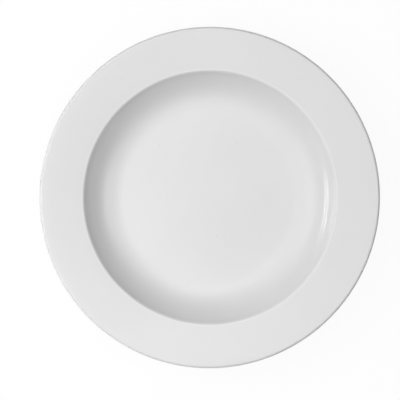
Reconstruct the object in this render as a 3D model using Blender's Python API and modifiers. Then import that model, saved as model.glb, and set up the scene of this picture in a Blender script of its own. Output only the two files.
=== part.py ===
"""Pasta plate: a rimmed porcelain plate with a deep round well.

The fired body is one pressed piece with its floor, wall, rim, lip and foot ring. A glaze coat runs from
the middle of the well over the lip to the outside of the foot ring, and a second coat lies inside the
ring. The ground foot between the two coats is bare. Metres, +Z up, origin under the middle of the foot.
"""

import math

import bpy

# Finished size over the glaze
PLATE_DIAMETER = 0.300

# Rim of the fired body: flat, rising towards a full round lip
RIM_WIDTH = 0.0383
RIM_ANGLE = math.radians(10.0)
RIM_THICKNESS = 0.0038

# Well of the fired body: level floor, large fillet, straight wall and a small shoulder at the rim
WELL_DEPTH = 0.0210
WELL_FILLET = 0.0430
WALL_ANGLE = math.radians(56.0)
WALL_THICKNESS = 0.0042
FLOOR_THICKNESS = 0.0048
SHOULDER_FILLET = 0.0040
UNDER_SHOULDER_FILLET = 0.0080

# Foot ring: tapered flanks, set back from where the underside starts to curve up
FOOT_HEIGHT = 0.0035
FOOT_FACE_WIDTH = 0.0030
FOOT_SETBACK = 0.0020
FOOT_DRAFT = math.radians(14.0)
FOOT_ROOT_FILLET = 0.0018
FOOT_EDGE_FILLET = 0.0006

# Glaze: it lies on the body with a hair gap and stops above the foot's ground face
GLAZE_THICKNESS = 0.0003
GLAZE_SEAT_GAP = 0.00002
GLAZE_STOP_HEIGHT = 0.0012

# Facets round the axis and along each fillet
TURN_STEPS = 64
WELL_STEPS = 7
SHOULDER_STEPS = 4
LIP_STEPS = 3
UNDER_SHOULDER_STEPS = 3
UNDER_WELL_STEPS = 5
FOOT_STEPS = 2

MERGE_DISTANCE = 0.000001
LEVEL = 0.0
INWARDS = math.pi


def heading(angle):
    """Unit step (r, z) along a line that climbs at this angle as it leaves the axis."""
    return math.cos(angle), math.sin(angle)


def moved(point, angle, distance):
    """The point shifted along a heading."""
    r, z = heading(angle)
    return point[0] + r * distance, point[1] + z * distance


def meeting(point_a, angle_a, point_b, angle_b):
    """Where the line through point_a at angle_a crosses the line through point_b at angle_b."""
    (ra, za), (rb, zb) = heading(angle_a), heading(angle_b)
    dr, dz = point_b[0] - point_a[0], point_b[1] - point_a[1]
    along = (dr * zb - dz * rb) / (ra * zb - za * rb)
    return moved(point_a, angle_a, along)


def setback(fillet, turn):
    """Distance from a sharp corner to where its fillet starts."""
    return fillet * math.tan(abs(turn) / 2)


def angle_between(start, end):
    """Heading from one point to another."""
    return math.atan2(end[1] - start[1], end[0] - start[0])


def fitted(points, fillets, turns):
    """The fillets, shrunk where two neighbours would not fit on the line between their corners."""
    backs = [setback(fillet, turn) for fillet, turn in zip(fillets, turns)]
    shares = []
    for i in range(1, len(points)):
        needed = backs[i - 1] + backs[i]
        room = math.dist(points[i - 1], points[i])
        shares.append(min(1.0, room / needed) if needed else 1.0)
    return [fillet * min(shares[max(i - 1, 0):i + 1]) for i, fillet in enumerate(fillets)]


def filleted(corners):
    """(point, outward normal angle) along a chain of corners, each a (point, fillet, steps).

    The chain is walked with the porcelain on its right, so the normal is a quarter turn to the left.
    """
    quarter = math.pi / 2
    points = [point for point, _, _ in corners]
    ways = [angle_between(start, end) for start, end in zip(points, points[1:])]
    turns = [math.remainder(out - into, math.tau) for into, out in zip(ways, ways[1:])]
    fillets = fitted(points, [fillet for _, fillet, _ in corners], [0.0, *turns, 0.0])

    chain = [(points[0], ways[0] + quarter)]
    for i, turn in enumerate(turns, start=1):
        side = math.copysign(fillets[i], turn)
        start = moved(points[i], ways[i - 1], -setback(fillets[i], turn))
        centre = moved(start, ways[i - 1] + quarter, side)
        steps = corners[i][2]
        for step in range(steps + 1):
            normal = ways[i - 1] + quarter + turn * step / steps
            point = moved(centre, normal, -side)
            if math.dist(point, chain[-1][0]) > MERGE_DISTANCE:
                chain.append((point, normal))
    chain.append((points[-1], ways[-1] + quarter))
    return chain


def lifted(chain, height):
    """The chain's points, moved off the body along their normals."""
    return [moved(point, normal, height) for point, normal in chain]


def plate_chains():
    """The body's half section in three chains: glazed top and outside, bare foot, glazed base."""
    glaze_build = GLAZE_SEAT_GAP + GLAZE_THICKNESS
    lip_r = PLATE_DIAMETER / 2 - glaze_build
    lip_fillet = RIM_THICKNESS / 2
    floor_z = FOOT_HEIGHT + FLOOR_THICKNESS
    up = math.pi / 2

    edge = (lip_r - RIM_WIDTH, floor_z + WELL_DEPTH)
    well_corner = (edge[0] - WELL_DEPTH / math.tan(WALL_ANGLE), floor_z)
    rim_run = (lip_r - lip_fillet - lip_fillet * math.sin(RIM_ANGLE) - edge[0]) / math.cos(RIM_ANGLE)
    lip_top = moved(edge, RIM_ANGLE, rim_run + lip_fillet)
    lip_bottom = moved(lip_top, RIM_ANGLE - up, RIM_THICKNESS)

    wall_outside = moved(edge, WALL_ANGLE - up, WALL_THICKNESS)
    under_shoulder = meeting(lip_bottom, RIM_ANGLE, wall_outside, WALL_ANGLE)
    under_well = meeting(wall_outside, WALL_ANGLE, (0.0, FOOT_HEIGHT), LEVEL)
    under_well_fillet = WELL_FILLET + WALL_THICKNESS

    flank = up - FOOT_DRAFT
    curve_start_r = under_well[0] - setback(under_well_fillet, WALL_ANGLE)
    root_r = curve_start_r - FOOT_SETBACK - setback(FOOT_ROOT_FILLET, flank)
    outer_root = (root_r, FOOT_HEIGHT)
    outer_edge = meeting(outer_root, flank, (0.0, 0.0), LEVEL)
    outer_stop = meeting(outer_root, flank, (0.0, GLAZE_STOP_HEIGHT), LEVEL)
    inner_edge = (outer_edge[0] - FOOT_FACE_WIDTH, 0.0)
    inner_stop = meeting(inner_edge, INWARDS - flank, (0.0, GLAZE_STOP_HEIGHT), LEVEL)
    inner_root = meeting(inner_edge, INWARDS - flank, (0.0, FOOT_HEIGHT), LEVEL)

    top = filleted([
        ((0.0, floor_z), 0.0, 0),
        (well_corner, WELL_FILLET, WELL_STEPS),
        (edge, SHOULDER_FILLET, SHOULDER_STEPS),
        (lip_top, lip_fillet, LIP_STEPS),
        (lip_bottom, lip_fillet, LIP_STEPS),
        (under_shoulder, UNDER_SHOULDER_FILLET, UNDER_SHOULDER_STEPS),
        (under_well, under_well_fillet, UNDER_WELL_STEPS),
        (outer_root, FOOT_ROOT_FILLET, FOOT_STEPS),
        (outer_stop, 0.0, 0),
    ])
    foot = filleted([
        (outer_stop, 0.0, 0),
        (outer_edge, FOOT_EDGE_FILLET, FOOT_STEPS),
        (inner_edge, FOOT_EDGE_FILLET, FOOT_STEPS),
        (inner_stop, 0.0, 0),
    ])
    base = filleted([
        (inner_stop, 0.0, 0),
        (inner_root, FOOT_ROOT_FILLET, FOOT_STEPS),
        ((0.0, FOOT_HEIGHT), 0.0, 0),
    ])
    return top, foot, base


def coat_section(chain):
    """Section of a glaze coat on one chain: its free face out, then its seat on the body back."""
    return lifted(chain, GLAZE_SEAT_GAP + GLAZE_THICKNESS) + lifted(chain, GLAZE_SEAT_GAP)[::-1]


def body_section(chains):
    """Section of the body: the three chains one after another, without their shared end points."""
    top, foot, base = (lifted(chain, 0.0) for chain in chains)
    return top + foot[1:] + base[1:]


def ceramic(name, colour, roughness):
    """A ceramic finish with its colour and roughness."""
    material = bpy.data.materials.new(name)
    material.use_nodes = True
    shader = material.node_tree.nodes["Principled BSDF"]
    shader.inputs["Base Color"].default_value = (*colour, 1.0)
    shader.inputs["Roughness"].default_value = roughness
    shader.inputs["Metallic"].default_value = 0.0
    return material


def turned(name, section, material, collection):
    """A solid of revolution about +Z from a section of (r, z) points."""
    on_axis = [abs(r) < MERGE_DISTANCE for r, _ in section]
    vertices = [(0.0 if axial else r, 0.0, z) for (r, z), axial in zip(section, on_axis)]
    count = len(section)
    loop = [(i, (i + 1) % count) for i in range(count)]
    edges = [(a, b) for a, b in loop if not (on_axis[a] and on_axis[b])]
    mesh = bpy.data.meshes.new(name)
    mesh.from_pydata(vertices, edges, [])
    mesh.materials.append(material)
    solid = bpy.data.objects.new(name, mesh)
    collection.objects.link(solid)

    screw = solid.modifiers.new("Turn", "SCREW")
    screw.axis = "Z"
    screw.angle = math.tau
    screw.steps = TURN_STEPS
    screw.render_steps = TURN_STEPS
    screw.use_merge_vertices = True
    screw.merge_threshold = MERGE_DISTANCE
    screw.use_smooth_shade = True
    return solid


def main():
    for leftover in list(bpy.data.objects):
        bpy.data.objects.remove(leftover)
    plate = bpy.data.collections.new("pasta_plate")
    bpy.context.scene.collection.children.link(plate)

    bisque = ceramic("bisque_porcelain", (0.78, 0.77, 0.74), 0.65)
    glaze = ceramic("white_glaze", (0.80, 0.80, 0.79), 0.08)

    chains = plate_chains()
    top, _, base = chains
    turned("porcelain_body", body_section(chains), bisque, plate)
    turned("glaze_coat", coat_section(top), glaze, plate)
    turned("base_glaze", coat_section(base), glaze, plate)


main()
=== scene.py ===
"""Looks of a white porcelain pasta plate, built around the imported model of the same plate.

Three turned pieces stand for the three solids: the fired body, the glaze over its top and outside,
and the glaze inside its foot ring. Soft lamps hang over the plate and on its left, and the camera
looks almost straight down on it.
"""

from __future__ import annotations

import logging
import math
from dataclasses import dataclass
from enum import Enum

import bmesh
import bpy
from mathutils import Matrix, Vector

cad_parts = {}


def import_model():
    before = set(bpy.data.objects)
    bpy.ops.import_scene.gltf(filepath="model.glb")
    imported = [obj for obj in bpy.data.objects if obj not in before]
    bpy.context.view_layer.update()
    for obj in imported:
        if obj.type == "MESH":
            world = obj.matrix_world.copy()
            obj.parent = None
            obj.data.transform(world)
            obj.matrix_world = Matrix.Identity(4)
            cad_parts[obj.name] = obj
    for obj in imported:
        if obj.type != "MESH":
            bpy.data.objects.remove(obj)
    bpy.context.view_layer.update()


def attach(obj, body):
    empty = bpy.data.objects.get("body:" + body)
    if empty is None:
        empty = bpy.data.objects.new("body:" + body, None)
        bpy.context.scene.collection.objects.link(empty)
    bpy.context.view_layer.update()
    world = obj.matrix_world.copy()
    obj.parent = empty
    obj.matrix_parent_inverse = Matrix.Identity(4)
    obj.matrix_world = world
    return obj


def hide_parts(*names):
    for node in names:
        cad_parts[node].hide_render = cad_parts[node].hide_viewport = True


LOG = logging.getLogger("pasta_plate")
BODY = "root"
QUARTER_TURN = math.pi / 2
MERGE_DISTANCE = 1e-6
RISING = (0.0, 1.0)
FALLING = (1.0, 0.0)

Colour = tuple[float, float, float]
Span = tuple[float, float]
Socket = bpy.types.NodeSocket


@dataclass(frozen=True)
class PlateSizes:
    """Sizes of the plate in metres and radians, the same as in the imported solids."""

    diameter: float = 0.300
    rim_width: float = 0.0383
    rim_angle: float = math.radians(10.0)
    rim_thickness: float = 0.0038
    well_depth: float = 0.0210
    well_fillet: float = 0.0430
    wall_angle: float = math.radians(56.0)
    wall_thickness: float = 0.0042
    floor_thickness: float = 0.0048
    shoulder_fillet: float = 0.0040
    under_shoulder_fillet: float = 0.0080
    foot_height: float = 0.0035
    foot_face_width: float = 0.0030
    foot_setback: float = 0.0020
    foot_draft: float = math.radians(14.0)
    foot_root_fillet: float = 0.0018
    foot_edge_fillet: float = 0.0006
    glaze_thickness: float = 0.0003
    glaze_seat_gap: float = 0.00002
    glaze_stop_height: float = 0.0012

    @property
    def glaze_build(self) -> float:
        """Height of the glaze's free face over the body."""
        return self.glaze_seat_gap + self.glaze_thickness

    @property
    def floor_height(self) -> float:
        """Height of the body's floor over the table."""
        return self.foot_height + self.floor_thickness

    @property
    def lip_radius(self) -> float:
        """Radius of the body's lip, under the glaze."""
        return self.diameter / 2 - self.glaze_build

    @property
    def shoulder(self) -> Vector:
        """Sharp corner (r, z) of the body between wall and rim."""
        return Vector((self.lip_radius - self.rim_width, self.floor_height + self.well_depth))

    @property
    def lip_height(self) -> float:
        """Height of the rim's outer end over the table."""
        return self.shoulder.y + self.rim_width * math.tan(self.rim_angle)


@dataclass(frozen=True)
class Smoothness:
    """How finely round forms are drawn: steps on fillets, turns about the axis, rings on flats."""

    well: int = 28
    shoulder: int = 14
    lip: int = 9
    under_shoulder: int = 9
    under_well: int = 18
    foot: int = 5
    bead: int = 6
    turns: int = 192
    flat_run: float = 0.02
    flat_cuts: int = 5
    crease: float = math.radians(38.0)


class Stretch(Enum):
    """Stretches of the half section, from the middle of the well round to that of the base."""

    TOP = "glazed top and outside"
    FOOT = "bare foot"
    BASE = "glazed base"


@dataclass(frozen=True)
class Corner:
    """A sharp corner of the half section and the fillet that rounds it."""

    place: Vector
    fillet: float = 0.0
    steps: int = 0


@dataclass(frozen=True)
class SurfacePoint:
    """A point on the body's surface and the direction that the surface faces there."""

    place: Vector
    facing: float

    def lifted(self, height: float) -> Vector:
        """Place this far off the body, in the plane of the half section."""
        spot = self.place + heading(self.facing) * height
        return Vector((spot.x, 0.0, spot.y))


def heading(angle: float) -> Vector:
    """Unit step (r, z) along a line that climbs at this angle as it leaves the axis."""
    return Vector((math.cos(angle), math.sin(angle)))


def setback(fillet: float, turn: float) -> float:
    """Distance from a sharp corner to where its fillet starts."""
    return fillet * math.tan(abs(turn) / 2)


def meeting(place_a: Vector, angle_a: float, place_b: Vector, angle_b: float) -> Vector:
    """Finds where two lines of the half section cross.

    Args:
        place_a: A point of the first line.
        angle_a: The first line's heading.
        place_b: A point of the second line.
        angle_b: The second line's heading.

    Returns:
        The crossing point.
    """
    way_a, way_b = heading(angle_a), heading(angle_b)
    apart = place_b - place_a
    return place_a + way_a * (apart.cross(way_b) / way_a.cross(way_b))


class HalfSection:
    """The plate's half section in (r, z), worked out from its sizes."""

    def __init__(self, sizes: PlateSizes, smoothness: Smoothness) -> None:
        """Keeps the sizes and works out the three stretches.

        Args:
            sizes: The plate's sizes.
            smoothness: Steps along each fillet.
        """
        self.sizes = sizes
        self.smoothness = smoothness
        corners = self._corners()
        self.stretches = {stretch: self._rounded(corners[stretch]) for stretch in Stretch}

    def lifted(self, stretch: Stretch, height: float) -> list[Vector]:
        """Places along a stretch, all this far off the body."""
        return [point.lifted(height) for point in self.stretches[stretch]]

    def _corners(self) -> dict[Stretch, list[Corner]]:
        """Places the sharp corners of each stretch.

        Returns:
            The corners of each stretch, in order, with their fillets.
        """
        s, n = self.sizes, self.smoothness
        lip_fillet = s.rim_thickness / 2
        edge = s.shoulder
        well = Vector((edge.x - s.well_depth / math.tan(s.wall_angle), s.floor_height))
        rim_reach = s.lip_radius - lip_fillet - lip_fillet * math.sin(s.rim_angle) - edge.x
        lip_top = edge + heading(s.rim_angle) * (rim_reach / math.cos(s.rim_angle) + lip_fillet)
        lip_bottom = lip_top + heading(s.rim_angle - QUARTER_TURN) * s.rim_thickness

        wall_outside = edge + heading(s.wall_angle - QUARTER_TURN) * s.wall_thickness
        base_centre = Vector((0.0, s.foot_height))
        under_shoulder = meeting(lip_bottom, s.rim_angle, wall_outside, s.wall_angle)
        under_well = meeting(wall_outside, s.wall_angle, base_centre, 0.0)
        under_well_fillet = s.well_fillet + s.wall_thickness

        flank = QUARTER_TURN - s.foot_draft
        curve_start_r = under_well.x - setback(under_well_fillet, s.wall_angle)
        outer_root = base_centre.copy()
        outer_root.x = curve_start_r - s.foot_setback - setback(s.foot_root_fillet, flank)
        table, stop = Vector((0.0, 0.0)), Vector((0.0, s.glaze_stop_height))
        outer_edge = meeting(outer_root, flank, table, 0.0)
        inner_edge = outer_edge - Vector((s.foot_face_width, 0.0))
        outer_stop = meeting(outer_root, flank, stop, 0.0)
        inner_stop = meeting(inner_edge, math.pi - flank, stop, 0.0)
        inner_root = meeting(inner_edge, math.pi - flank, base_centre, 0.0)

        return {
            Stretch.TOP: [
                Corner(Vector((0.0, s.floor_height))),
                Corner(well, s.well_fillet, n.well),
                Corner(edge, s.shoulder_fillet, n.shoulder),
                Corner(lip_top, lip_fillet, n.lip),
                Corner(lip_bottom, lip_fillet, n.lip),
                Corner(under_shoulder, s.under_shoulder_fillet, n.under_shoulder),
                Corner(under_well, under_well_fillet, n.under_well),
                Corner(outer_root, s.foot_root_fillet, n.foot),
                Corner(outer_stop),
            ],
            Stretch.FOOT: [
                Corner(outer_stop),
                Corner(outer_edge, s.foot_edge_fillet, n.foot),
                Corner(inner_edge, s.foot_edge_fillet, n.foot),
                Corner(inner_stop),
            ],
            Stretch.BASE: [
                Corner(inner_stop),
                Corner(inner_root, s.foot_root_fillet, n.foot),
                Corner(base_centre),
            ],
        }

    def _rounded(self, corners: list[Corner]) -> list[SurfacePoint]:
        """Rounds a chain of corners, walked with the porcelain on its right.

        Args:
            corners: The chain's corners. The first and the last have no fillet.

        Returns:
            Points along the rounded chain, each facing away from the porcelain.
        """
        places = [corner.place for corner in corners]
        ways = [math.atan2((b - a).y, (b - a).x) for a, b in zip(places, places[1:])]
        turns = [math.remainder(after - before, math.tau) for before, after in zip(ways, ways[1:])]
        fillets = self._fitting(corners, [0.0, *turns, 0.0])
        chain = [SurfacePoint(places[0], ways[0] + QUARTER_TURN)]
        for corner, fillet, way, turn in zip(corners[1:-1], fillets[1:-1], ways, turns):
            side = math.copysign(fillet, turn)
            start = corner.place - heading(way) * setback(fillet, turn)
            centre = start + heading(way + QUARTER_TURN) * side
            for step in range(corner.steps + 1):
                facing = way + QUARTER_TURN + turn * step / corner.steps
                place = centre - heading(facing) * side
                if (place - chain[-1].place).length > MERGE_DISTANCE:
                    chain.append(SurfacePoint(place, facing))
        chain.append(SurfacePoint(places[-1], ways[-1] + QUARTER_TURN))
        return chain

    @staticmethod
    def _fitting(corners: list[Corner], turns: list[float]) -> list[float]:
        """Shrinks neighbouring fillets that would not fit on the line between their corners.

        Args:
            corners: The chain's corners.
            turns: How far the chain turns at each corner.

        Returns:
            The fillet of each corner.
        """
        backs = [setback(corner.fillet, turn) for corner, turn in zip(corners, turns)]
        shares = []
        for first, second, needed in zip(corners, corners[1:], map(sum, zip(backs, backs[1:]))):
            room = (second.place - first.place).length
            shares.append(min(1.0, room / needed) if needed else 1.0)
        return [corner.fillet * min(shares[max(place - 1, 0):place + 1])
                for place, corner in enumerate(corners)]


class Shading:
    """A material's node tree, with short calls to add and join nodes."""

    # Places of a Mix node's colour sockets, whose names repeat for each type of data.
    MIX_COLOURS = (6, 7)
    MIX_RESULT = 2
    LEVEL = (1.0, 1.0, 0.0)

    def __init__(self, name: str) -> None:
        """Starts a material with its Principled shader.

        Args:
            name: The material's name.
        """
        self.material = bpy.data.materials.new(name)
        self.material.use_nodes = True
        self.tree = self.material.node_tree
        self.shader = self.tree.nodes["Principled BSDF"]
        self.output = self.tree.nodes["Material Output"]

    def add(self, kind: str, **settings: object) -> bpy.types.Node:
        """Adds a node and sets its properties.

        Args:
            kind: The node's type name, without the common prefix.
            **settings: Properties of the node.

        Returns:
            The new node.
        """
        node = self.tree.nodes.new("ShaderNode" + kind)
        for name, value in settings.items():
            setattr(node, name, value)
        return node

    def join(self, source: Socket, target: Socket) -> None:
        """Links an output to an input."""
        self.tree.links.new(source, target)

    def noise(self, place: Socket, scale: float, detail: float) -> Socket:
        """Adds a noise pattern.

        Args:
            place: Where the pattern is read.
            scale: Features per metre.
            detail: Octaves of finer features.

        Returns:
            The pattern's value, from 0 to 1.
        """
        node = self.add("TexNoise")
        node.inputs["Scale"].default_value = scale
        node.inputs["Detail"].default_value = detail
        self.join(place, node.inputs["Vector"])
        return node.outputs["Fac"]

    def ranged(self, value: Socket, source: Span, target: Span) -> Socket:
        """Maps a value from one range to another, smoothly and clamped.

        Args:
            value: The value to map.
            source: The range it comes in.
            target: The range it goes to.

        Returns:
            The mapped value.
        """
        node = self.add("MapRange", interpolation_type="SMOOTHSTEP")
        ends = ("From Min", "From Max", "To Min", "To Max")
        for socket, number in zip(ends, (*source, *target)):
            node.inputs[socket].default_value = number
        self.join(value, node.inputs["Value"])
        return node.outputs["Result"]

    def from_axis(self, place: Socket) -> Socket:
        """Measures how far a place lies from the plate's axis.

        Args:
            place: The place.

        Returns:
            The distance in metres.
        """
        flat = self.add("VectorMath", operation="MULTIPLY")
        flat.inputs[1].default_value = self.LEVEL
        self.join(place, flat.inputs[0])
        radius = self.add("VectorMath", operation="LENGTH")
        self.join(flat.outputs["Vector"], radius.inputs[0])
        return radius.outputs["Value"]

    def from_ring(self, place: Socket, ring: Vector) -> Socket:
        """Measures how far a place lies from a ring about the plate's axis.

        Args:
            place: The place.
            ring: The ring's radius and height.

        Returns:
            The distance in metres.
        """
        parts = self.add("SeparateXYZ")
        self.join(place, parts.inputs["Vector"])
        section = self.add("CombineXYZ")
        self.join(self.from_axis(place), section.inputs["X"])
        self.join(parts.outputs["Z"], section.inputs["Y"])
        apart = self.add("VectorMath", operation="DISTANCE")
        apart.inputs[1].default_value = (*ring, 0.0)
        self.join(section.outputs["Vector"], apart.inputs[0])
        return apart.outputs["Value"]

    def mixed(self, share: Socket, first: Colour | Socket, second: Colour | Socket) -> Socket:
        """Mixes two colours.

        Args:
            share: How much of the second colour shows.
            first: A colour or an output.
            second: A colour or an output.

        Returns:
            The mixed colour.
        """
        node = self.add("Mix", data_type="RGBA")
        self.join(share, node.inputs["Factor"])
        for place, colour in zip(self.MIX_COLOURS, (first, second)):
            if isinstance(colour, Socket):
                self.join(colour, node.inputs[place])
            else:
                node.inputs[place].default_value = (*colour, 1.0)
        return node.outputs[self.MIX_RESULT]

    def bumped(self, height: Socket, depth: float, below: Socket | None = None) -> Socket:
        """Adds a bump.

        Args:
            height: The pattern that gives the height, from 0 to 1.
            depth: Height of the bump in metres.
            below: The normal of a bump that this one lies on.

        Returns:
            The bumped normal.
        """
        node = self.add("Bump")
        node.inputs["Strength"].default_value = 1.0
        node.inputs["Distance"].default_value = depth
        self.join(height, node.inputs["Height"])
        if below is not None:
            self.join(below, node.inputs["Normal"])
        return node.outputs["Normal"]


@dataclass(frozen=True)
class GlazeFinish:
    """Glossy white glaze: mottled, with a painted highlight along the shoulder and painted shade on
    the lip, pinholed.
    """

    name: str = "white_glaze"
    tone: Colour = (0.702, 0.702, 0.702)
    cloud_tone: Colour = (0.690, 0.690, 0.691)
    cloud_scale: float = 16.0
    cloud_detail: float = 3.0
    cloud_span: Span = (0.3, 0.7)
    # Painted highlight: a brighter tone in a thin ring along the shoulder stands in for light
    # mirrored there.
    shoulder_highlight_tone: Colour = (0.742, 0.742, 0.741)
    highlight_setback: float = 0.0013
    highlight_reach: Span = (0.0003, 0.0011)
    # Painted shade: a darker tone on the lip's round stands in for the shade along the plate's
    # outer edge.
    lip_shade_tone: Colour = (0.640, 0.639, 0.635)
    speck_tone: Colour = (0.56, 0.55, 0.53)
    speck_scale: float = 45.0
    speck_reach: Span = (0.012, 0.030)
    gloss: Span = (0.05, 0.09)
    gloss_span: Span = (0.2, 0.8)
    refraction: float = 1.5
    wave_scale: float = 38.0
    wave_detail: float = 1.0
    wave_depth: float = 0.00003
    peel_scale: float = 620.0
    peel_detail: float = 0.0
    peel_depth: float = 0.000001

    def material(self, sizes: PlateSizes) -> bpy.types.Material:
        """Builds the glaze's shader.

        Args:
            sizes: The plate's sizes, for where its shoulder and lip are.

        Returns:
            The material.
        """
        shading = Shading(self.name)
        sockets = shading.shader.inputs
        place = shading.add("TexCoord").outputs["Object"]
        clouds = shading.noise(place, self.cloud_scale, self.cloud_detail)
        tone = shading.mixed(shading.ranged(clouds, self.cloud_span, RISING),
                             self.tone, self.cloud_tone)
        # Painted highlight: the glaze is lighter in a thin ring along the shoulder, for light
        # mirrored there.
        painted_highlight = shading.ranged(shading.from_ring(place, self._highlight_ring(sizes)),
                              self.highlight_reach, FALLING)
        tone = shading.mixed(painted_highlight, tone, self.shoulder_highlight_tone)
        # Painted shade: the glaze darkens over the lip's round, for the shade along the plate's
        # outline.
        outside = sizes.diameter / 2
        lip_shade_reach = (outside - sizes.rim_thickness / 2, outside)
        painted_lip_shade = shading.ranged(shading.from_axis(place), lip_shade_reach, RISING)
        tone = shading.mixed(painted_lip_shade, tone, self.lip_shade_tone)
        cells = shading.add("TexVoronoi")
        cells.inputs["Scale"].default_value = self.speck_scale
        shading.join(place, cells.inputs["Vector"])
        specks = shading.ranged(cells.outputs["Distance"], self.speck_reach, FALLING)
        shading.join(shading.mixed(specks, tone, self.speck_tone), sockets["Base Color"])

        shading.join(shading.ranged(clouds, self.gloss_span, self.gloss), sockets["Roughness"])
        waves = shading.noise(place, self.wave_scale, self.wave_detail)
        peel = shading.noise(place, self.peel_scale, self.peel_detail)
        wavy = shading.bumped(waves, self.wave_depth)
        shading.join(shading.bumped(peel, self.peel_depth, wavy), sockets["Normal"])
        sockets["IOR"].default_value = self.refraction
        return shading.material

    def _highlight_ring(self, sizes: PlateSizes) -> Vector:
        """Finds the ring along which the painted highlight runs over the shoulder.

        Args:
            sizes: The plate's sizes.

        Returns:
            The ring's radius and height, on the glaze's free face.
        """
        along = heading(sizes.rim_angle) * self.highlight_setback
        off = heading(sizes.rim_angle + QUARTER_TURN) * sizes.glaze_build
        return sizes.shoulder + along + off


@dataclass(frozen=True)
class BisqueFinish:
    """Bare fired porcelain: matte, warm white, finely grained, with grinding rings on the foot."""

    name: str = "bisque_porcelain"
    tone: Colour = (0.78, 0.77, 0.74)
    worn_tone: Colour = (0.70, 0.685, 0.65)
    stain_scale: float = 90.0
    stain_detail: float = 4.0
    stain_span: Span = (0.35, 0.75)
    roughness: Span = (0.52, 0.72)
    grain_scale: float = 1400.0
    grain_detail: float = 2.0
    grain_span: Span = (0.3, 0.7)
    grain_depth: float = 0.00002
    ring_scale: float = 2600.0
    ring_detail: float = 2.0
    ring_depth: float = 0.000012

    def material(self) -> bpy.types.Material:
        """Builds the bare porcelain's shader.

        Returns:
            The material.
        """
        shading = Shading(self.name)
        sockets = shading.shader.inputs
        place = shading.add("TexCoord").outputs["Object"]
        stains = shading.noise(place, self.stain_scale, self.stain_detail)
        tone = shading.mixed(shading.ranged(stains, self.stain_span, RISING),
                             self.tone, self.worn_tone)
        shading.join(tone, sockets["Base Color"])
        grain = shading.noise(place, self.grain_scale, self.grain_detail)
        shading.join(shading.ranged(grain, self.grain_span, self.roughness), sockets["Roughness"])

        across = shading.add("CombineXYZ")
        shading.join(shading.from_axis(place), across.inputs["X"])
        rings = shading.noise(across.outputs["Vector"], self.ring_scale, self.ring_detail)
        ground = shading.bumped(rings, self.ring_depth)
        shading.join(shading.bumped(grain, self.grain_depth, ground), sockets["Normal"])
        return shading.material


class TurnedPiece:
    """A piece that is drawn as a half section and spun about the plate's axis."""

    name = "turned_piece"
    node = ""
    slot = ""

    def __init__(self, section: HalfSection) -> None:
        """Keeps the section that the piece is drawn from.

        Args:
            section: The plate's half section.
        """
        self.section = section
        self.sizes = section.sizes
        self.smoothness = section.smoothness

    def outline(self) -> list[Vector]:
        """Places along the piece's own half section, from the axis and back to it."""
        raise NotImplementedError

    def build(self, material: bpy.types.Material) -> bpy.types.Object:
        """Models the piece, dresses it and sets it on the frame in place of its solid.

        Args:
            material: The piece's finish.

        Returns:
            The finished piece.
        """
        piece = self._drawn()
        self._cut_flats(piece)
        self._spun()
        piece.data.materials.append(material)
        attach(piece, BODY)
        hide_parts(self.node)
        return piece

    def _drawn(self) -> bpy.types.Object:
        """Draws the outline point by point, from a small plane merged to its middle.

        Returns:
            The piece, left in edit mode.
        """
        outline = self.outline()
        bpy.ops.object.select_all(action="DESELECT")
        bpy.ops.mesh.primitive_plane_add(size=self.sizes.glaze_thickness)
        piece = bpy.context.object
        piece.name = piece.data.name = self.name
        bpy.ops.object.mode_set(mode="EDIT")
        bpy.ops.mesh.select_all(action="SELECT")
        bpy.ops.mesh.merge(type="CENTER")
        bpy.ops.transform.translate(value=outline[0])
        for last, point in zip(outline, outline[1:]):
            bpy.ops.mesh.extrude_vertices_move(TRANSFORM_OT_translate={"value": point - last})
        return piece

    def _cut_flats(self, piece: bpy.types.Object) -> None:
        """Cuts the long straight runs of the outline, so that the spin makes even rings there.

        Args:
            piece: The piece, in edit mode.
        """
        bpy.ops.mesh.select_all(action="DESELECT")
        drawing = bmesh.from_edit_mesh(piece.data)
        for edge in drawing.edges:
            edge.select_set(edge.calc_length() > self.smoothness.flat_run)
        bmesh.update_edit_mesh(piece.data)
        bpy.ops.mesh.subdivide(number_cuts=self.smoothness.flat_cuts)

    def _spun(self) -> None:
        """Spins the outline round the axis, closes the poles and shades the round faces smooth."""
        bpy.ops.mesh.select_all(action="SELECT")
        bpy.ops.mesh.spin(steps=self.smoothness.turns, angle=math.tau, use_auto_merge=True,
                          center=(0.0, 0.0, 0.0), axis=(0.0, 0.0, 1.0))
        bpy.ops.mesh.select_all(action="SELECT")
        bpy.ops.mesh.remove_doubles(threshold=MERGE_DISTANCE)
        bpy.ops.mesh.normals_make_consistent(inside=False)
        bpy.ops.object.mode_set(mode="OBJECT")
        bpy.ops.object.shade_smooth_by_angle(angle=self.smoothness.crease)


class PorcelainBody(TurnedPiece):
    """The fired body. Only its ground foot shows between the two coats of glaze."""

    name = "fired_body"
    node = "porcelain_body"
    slot = "bisque_porcelain"

    def outline(self) -> list[Vector]:
        """Places along the body's half section, from the floor round to the base."""
        top, foot, base = (self.section.lifted(stretch, 0.0) for stretch in Stretch)
        return top + foot[1:] + base[1:]


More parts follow.
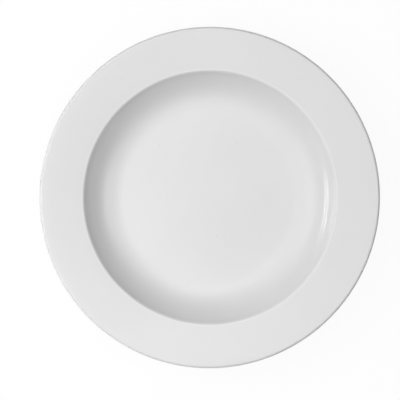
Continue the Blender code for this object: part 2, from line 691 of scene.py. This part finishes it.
class GlazeCoat(TurnedPiece):
    """The glaze from the middle of the well over the lip to the outside of the foot."""

    name = "outer_glaze"
    node = "glaze_coat"
    slot = "white_glaze"
    stretch = Stretch.TOP

    def outline(self) -> list[Vector]:
        """Follows the free face, the bead at its stop, and the seat back to the axis.

        Returns:
            Places along the coat's half section.
        """
        free = self.section.lifted(self.stretch, self.sizes.glaze_build)
        seat = self.section.lifted(self.stretch, self.sizes.glaze_seat_gap)
        if abs(free[-1].x) < MERGE_DISTANCE:
            free.reverse()
            seat.reverse()
        return free + self._bead(free[-1], seat[-1], free[-1] - free[-2]) + seat[::-1]

    def _bead(self, free: Vector, seat: Vector, ahead: Vector) -> list[Vector]:
        """Rounds the end of the coat into a half bead.

        Args:
            free: End of the free face.
            seat: End of the seat.
            ahead: Direction in which the coat ends.

        Returns:
            Places round the bead, without its two ends.
        """
        middle = (free + seat) / 2
        out = free - middle
        ahead = ahead.normalized() * out.length
        steps = self.smoothness.bead
        turns = [math.pi * step / steps for step in range(1, steps)]
        return [middle + out * math.cos(turn) + ahead * math.sin(turn) for turn in turns]


class BaseGlaze(GlazeCoat):
    """The patch of glaze inside the foot ring."""

    name = "inner_glaze"
    node = "base_glaze"
    stretch = Stretch.BASE


class Role(Enum):
    """What a lamp does to the glossy glaze."""

    FULL = "lights it and is mirrored in it"
    LIGHT = "lights it without being mirrored"
    GLINT = "is mirrored without lighting it"


@dataclass(frozen=True)
class Softbox:
    """A soft lamp that fades to its edge: where it hangs over the plate, its size and its strength.

    Angles are in degrees, lengths in metres and the power in watts.
    """

    name: str
    azimuth: float
    zenith: float
    distance: float
    width: float
    height: float
    power: float
    role: Role = Role.FULL

    def place(self, target: Vector) -> None:
        """Hangs the lamp and turns it to the target.

        Args:
            target: The point that the lamp faces.
        """
        lamp = bpy.data.lights.new(self.name, "AREA")
        lamp.shape = "ELLIPSE"
        lamp.size, lamp.size_y = self.width, self.height
        lamp.energy = self.power
        self._fade(lamp)
        softbox = bpy.data.objects.new(self.name, lamp)
        bpy.context.scene.collection.objects.link(softbox)
        away, aside = direction(self.azimuth, self.zenith)
        softbox.matrix_world = facing(target + away * self.distance, away, aside)
        softbox.visible_glossy = self.role is not Role.LIGHT
        softbox.visible_diffuse = self.role is not Role.GLINT

    @staticmethod
    def _fade(lamp: bpy.types.AreaLight) -> None:
        """Lets the lamp's light fall off from its middle to nothing at its edge.

        Across the lamp, the parametric place runs from 0 to 1.

        Args:
            lamp: The lamp to fade.
        """
        half = 0.5
        lamp.use_nodes = True
        nodes, links = lamp.node_tree.nodes, lamp.node_tree.links
        middle = nodes.new("ShaderNodeVectorMath")
        middle.operation = "DISTANCE"
        middle.inputs[1].default_value = (half, half, 0.0)
        geometry = nodes.new("ShaderNodeNewGeometry")
        links.new(geometry.outputs["Parametric"], middle.inputs[0])
        falloff = nodes.new("ShaderNodeMapRange")
        falloff.interpolation_type = "SMOOTHSTEP"
        falloff.inputs["From Min"].default_value = half
        falloff.inputs["From Max"].default_value = 0.0
        links.new(middle.outputs["Value"], falloff.inputs["Value"])
        links.new(falloff.outputs["Result"], nodes["Emission"].inputs["Strength"])


def direction(azimuth: float, zenith: float) -> tuple[Vector, Vector]:
    """Gives a direction over the table.

    Args:
        azimuth: Degrees from +X towards +Y.
        zenith: Degrees from straight up.

    Returns:
        The unit direction, and a level unit vector to its side.
    """
    turn, lean = math.radians(azimuth), math.radians(zenith)
    level = Vector((math.cos(turn), math.sin(turn), 0.0))
    away = level * math.sin(lean) + Vector((0.0, 0.0, math.cos(lean)))
    return away, Vector((-level.y, level.x, 0.0))


def facing(spot: Vector, away: Vector, aside: Vector) -> Matrix:
    """Turns a lamp or camera at a spot to look back along a direction.

    Args:
        spot: Where it stands.
        away: Unit direction from what it looks at to the spot.
        aside: Unit direction of its own X.

    Returns:
        Its matrix in the world.
    """
    matrix = Matrix((aside, away.cross(aside), away)).transposed().to_4x4()
    matrix.translation = spot
    return matrix


@dataclass(frozen=True)
class Studio:
    """Floor, lamps, surroundings and camera around the plate."""

    softboxes: tuple[Softbox, ...] = (
        Softbox("overhead_softbox", azimuth=0.0, zenith=0.0, distance=1.5,
                width=5.0, height=5.0, power=78.6),
        Softbox("middle_overhead", azimuth=80.0, zenith=8.0, distance=1.36,
                width=1.3, height=1.8, power=3.5),
        Softbox("left_key", azimuth=161.0, zenith=48.0, distance=1.1,
                width=1.8, height=1.0, power=22.5, role=Role.LIGHT),
        Softbox("near_left_lamp", azimuth=225.0, zenith=45.0, distance=0.6,
                width=0.6, height=0.6, power=2.6, role=Role.LIGHT),
        Softbox("left_card", azimuth=176.0, zenith=37.0, distance=1.3,
                width=2.2, height=1.2, power=5.0, role=Role.GLINT),
        Softbox("right_card", azimuth=0.0, zenith=45.0, distance=1.3,
                width=1.2, height=0.7, power=3.4, role=Role.GLINT),
        Softbox("far_card", azimuth=76.0, zenith=19.0, distance=1.25,
                width=0.9, height=0.9, power=1.5, role=Role.GLINT),
        Softbox("near_card", azimuth=282.0, zenith=23.0, distance=1.2,
                width=0.9, height=0.9, power=1.5, role=Role.GLINT),
        Softbox("left_strip", azimuth=178.0, zenith=85.3, distance=1.1,
                width=1.25, height=0.05, power=3.8, role=Role.GLINT),
        Softbox("upper_left_strip", azimuth=178.0, zenith=77.0, distance=1.1,
                width=1.25, height=0.04, power=2.8, role=Role.GLINT),
    )
    floor_radius: float = 3.0
    floor_sides: int = 96
    floor_roughness: float = 0.9
    floor_tone: float = 0.90
    floor_white: float = 0.93
    fill: float = 0.01
    view_reach: float = 12.0
    camera_distance: float = 3.0
    camera_tilt: float = 5.0
    camera_azimuth: float = 158.0
    sensor: float = 36.0
    frame_pixels: int = 400
    plate_pixels: float = 342.0
    plate_pixel_x: float = 210.66
    plate_pixel_y: float = 197.9

    def build(self, sizes: PlateSizes) -> None:
        """Sets up the whole studio.

        Args:
            sizes: The plate's sizes.
        """
        self._floor()
        self._surroundings()
        for softbox in self.softboxes:
            softbox.place(Vector((0.0, 0.0, sizes.floor_height)))
        self._camera(sizes)
        bpy.context.scene.view_settings.view_transform = "Standard"

    def _floor(self) -> None:
        """Lays a round pale floor that looks white and still takes the plate's shadow."""
        bpy.ops.object.select_all(action="DESELECT")
        bpy.ops.mesh.primitive_circle_add(vertices=self.floor_sides, radius=self.floor_radius,
                                          fill_type="NGON")
        floor = bpy.context.object
        floor.name = floor.data.name = "studio_floor"
        shading = Shading("floor_paper")
        sockets = shading.shader.inputs
        sockets["Base Color"].default_value = (*(self.floor_tone,) * 3, 1.0)
        sockets["Roughness"].default_value = self.floor_roughness
        sockets["Specular IOR Level"].default_value = 0.0
        glow = shading.add("Emission")
        blend = shading.add("MixShader")
        shading.join(self._seen(shading, self.floor_white), blend.inputs["Fac"])
        shading.join(shading.shader.outputs["BSDF"], blend.inputs[1])
        shading.join(glow.outputs["Emission"], blend.inputs[2])
        shading.join(blend.outputs["Shader"], shading.output.inputs["Surface"])
        floor.data.materials.append(shading.material)

    @staticmethod
    def _seen(shading: Shading, share: float) -> Socket:
        """Tells the rays that see the background from those that light the plate.

        Args:
            shading: The node tree to work in.
            share: The value for rays that see the background.

        Returns:
            The share on camera, glossy and transmission rays, and 0 on others.
        """
        path = shading.add("LightPath")
        total = path.outputs["Is Camera Ray"]
        for ray in ("Is Glossy Ray", "Is Transmission Ray"):
            either = shading.add("Math", operation="MAXIMUM")
            shading.join(total, either.inputs[0])
            shading.join(path.outputs[ray], either.inputs[1])
            total = either.outputs["Value"]
        scaled = shading.add("Math", operation="MULTIPLY")
        shading.join(total, scaled.inputs[0])
        scaled.inputs[1].default_value = share
        return scaled.outputs["Value"]

    def _surroundings(self) -> None:
        """Makes the room around the lamps almost dark."""
        world = bpy.data.worlds.new("studio_surroundings")
        world.use_nodes = True
        background = world.node_tree.nodes["Background"]
        background.inputs["Color"].default_value = (1.0, 1.0, 1.0, 1.0)
        background.inputs["Strength"].default_value = self.fill
        bpy.context.scene.world = world

    def _camera(self, sizes: PlateSizes) -> None:
        """Sets the camera almost straight over the plate, framed as the photograph is.

        Args:
            sizes: The plate's sizes.
        """
        scale = sizes.diameter / self.plate_pixels
        centre = self.frame_pixels / 2
        aim = Vector(((centre - self.plate_pixel_x) * scale,
                      (self.plate_pixel_y - centre) * scale, sizes.lip_height))
        away, _ = direction(self.camera_azimuth, self.camera_tilt)
        aside = Vector((0.0, 1.0, 0.0)).cross(away).normalized()
        lens = bpy.data.cameras.new("overhead_camera")
        lens.sensor_width = self.sensor
        lens.lens = self.sensor * self.camera_distance / (self.frame_pixels * scale)
        lens.clip_end = self.view_reach
        camera = bpy.data.objects.new("overhead_camera", lens)
        bpy.context.scene.collection.objects.link(camera)
        camera.matrix_world = facing(aim + away * self.camera_distance, away, aside)
        bpy.context.scene.camera = camera


def corners(box: tuple[Vector, Vector]) -> list[list[float]]:
    """The two corners of a box as plain lists of numbers."""
    return [[float(value) for value in corner] for corner in box]


def main() -> None:
    """Loads the frame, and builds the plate's pieces and the studio."""
    logging.basicConfig(level=logging.INFO, format="%(name)s %(message)s")
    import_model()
    sizes = PlateSizes()
    section = HalfSection(sizes, Smoothness())
    bisque, glaze = BisqueFinish().material(), GlazeFinish().material(sizes)
    for turned, material in ((PorcelainBody, bisque), (GlazeCoat, glaze), (BaseGlaze, glaze)):
        piece = turned(section).build(material)
        LOG.info("%s: %d faces", piece.name, len(piece.data.polygons))
    Studio().build(sizes)


if __name__ == "__main__":
    main()
